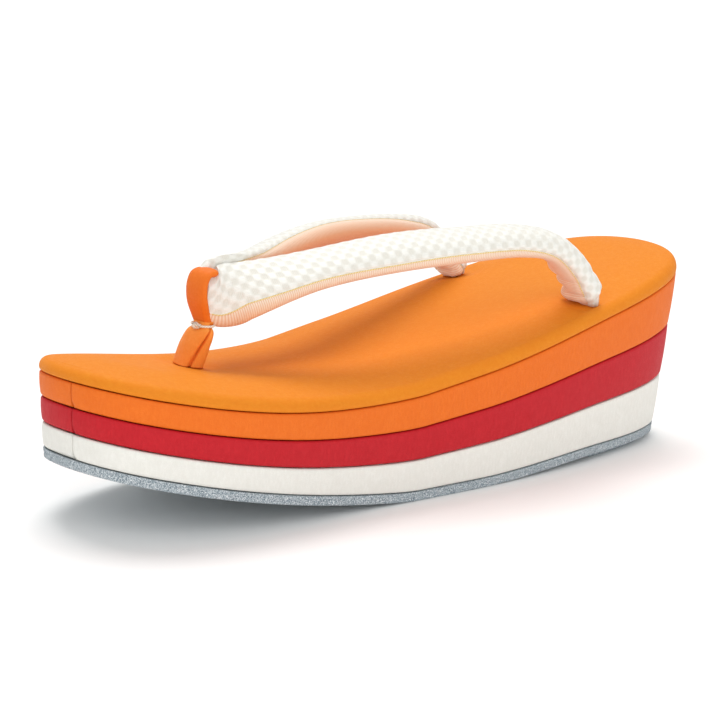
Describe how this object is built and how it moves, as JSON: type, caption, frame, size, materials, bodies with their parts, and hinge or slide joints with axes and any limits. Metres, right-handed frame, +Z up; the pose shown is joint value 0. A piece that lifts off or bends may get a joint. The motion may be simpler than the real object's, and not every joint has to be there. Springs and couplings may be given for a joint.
{
  "type": "zori sandal",
  "caption": "Platform sandal with a stacked wedge sole, padded footbed and a V strap held by a toe thong.",
  "frame": {"origin": "centre of the bounding box at floor level, under the middle of the sole", "axes": "+X from the toe to the heel, +Z up, +Y to the side away from the picture's camera"},
  "size_m": [0.24, 0.0794, 0.0781],
  "materials": {
    "outsole_felt": "matt speckled grey sheet",
    "white_leather": "smooth satin leather",
    "red_leather": "fine grained satin leather",
    "orange_leather": "fine grained satin leather",
    "footbed_leather": "pebble grained satin leather over foam",
    "strap_weave": "small raised check weave with a soft sheen",
    "thread": "waxed twisted thread"
  },
  "bodies": {
    "root": {"outsole": "outsole_felt", "heel_lift": "outsole_felt", "sole_layer_white": "white_leather", "sole_layer_red": "red_leather", "sole_layer_orange": "orange_leather", "insole": "footbed_leather", "straps": "strap_weave", "toe_thong": "orange_leather", "tie_thread": "thread"}
  },
  "joints": []
}
